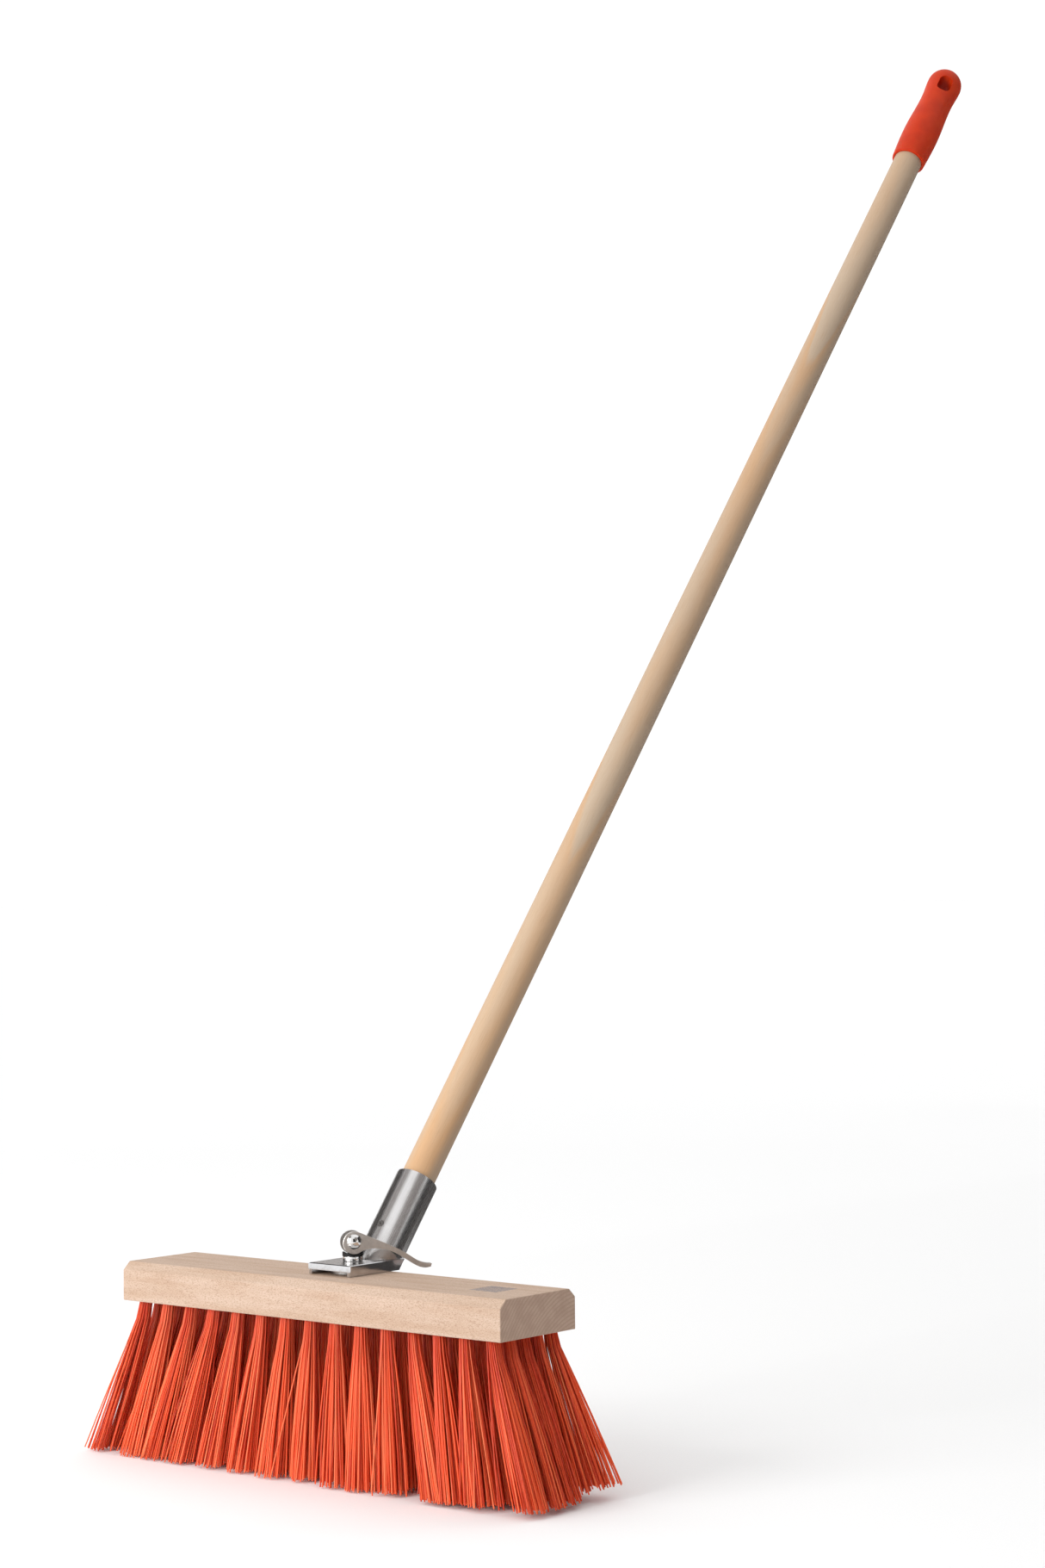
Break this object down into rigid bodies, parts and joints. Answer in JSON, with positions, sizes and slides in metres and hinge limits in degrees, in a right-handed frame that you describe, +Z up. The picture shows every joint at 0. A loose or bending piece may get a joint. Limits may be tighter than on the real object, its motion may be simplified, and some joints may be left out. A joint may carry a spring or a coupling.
{
  "type": "push broom",
  "caption": "Push broom with a wooden block of fanned plastic tufts, a cam-clamped steel socket that swivels, and a wooden handle with an end grip.",
  "frame": {"origin": "centre of the plane that the bristle tips sweep, under the middle of the block", "axes": "+Z up out of the floor, X along the block, the handle leans back towards +Y"},
  "size_m": [0.4634, 0.9845, 1.288],
  "materials": {
    "beech": "fine sanded, unvarnished",
    "pole_wood": "turned and lightly waxed",
    "bristle": "extruded filament",
    "grip_plastic": "satin moulding",
    "black_plastic": "matte moulding",
    "plain_steel": "zinc plated",
    "socket_steel": "bright drawn",
    "satin_steel": "satin nickel",
    "bright_steel": "bright zinc",
    "chrome": "polished chrome"
  },
  "bodies": {
    "head": {"brush_block": "beech", "tuft_row_1": "bristle", "tuft_row_2": "bristle", "tuft_row_3": "bristle", "tuft_row_4": "bristle", "tuft_row_5": "bristle", "tuft_anchors": "plain_steel", "swivel_plate": "plain_steel", "swivel_plate_screws": "bright_steel", "clamp_nut": "plain_steel"},
    "handle": {"handle_socket": "socket_steel", "socket_screw": "bright_steel", "handle_pole": "pole_wood", "end_grip": "grip_plastic"},
    "clamp": {"clamp_stud": "bright_steel", "spacer_collar": "chrome", "cam_washer": "black_plastic"},
    "lever": {"cam_lever": "satin_steel", "lever_pin": "chrome", "lever_pin_cap": "chrome"}
  },
  "joints": [
    {"name": "handle_swivel", "type": "hinge", "parent": "head", "child": "handle", "pos_m": [0, 0.0145, 0.155], "axis": [0, 0, 1], "continuous": true},
    {"name": "clamp_turn", "type": "hinge", "parent": "handle", "child": "clamp", "pos_m": [0, 0.0145, 0.155], "axis": [0, 0, 1], "range_deg": [-280, 0]},
    {"name": "lever_flip", "type": "hinge", "parent": "clamp", "child": "lever", "pos_m": [0, 0.0145, 0.1794], "axis": [0.82, -0.5724, 0], "range_deg": [0, 100]}
  ]
}
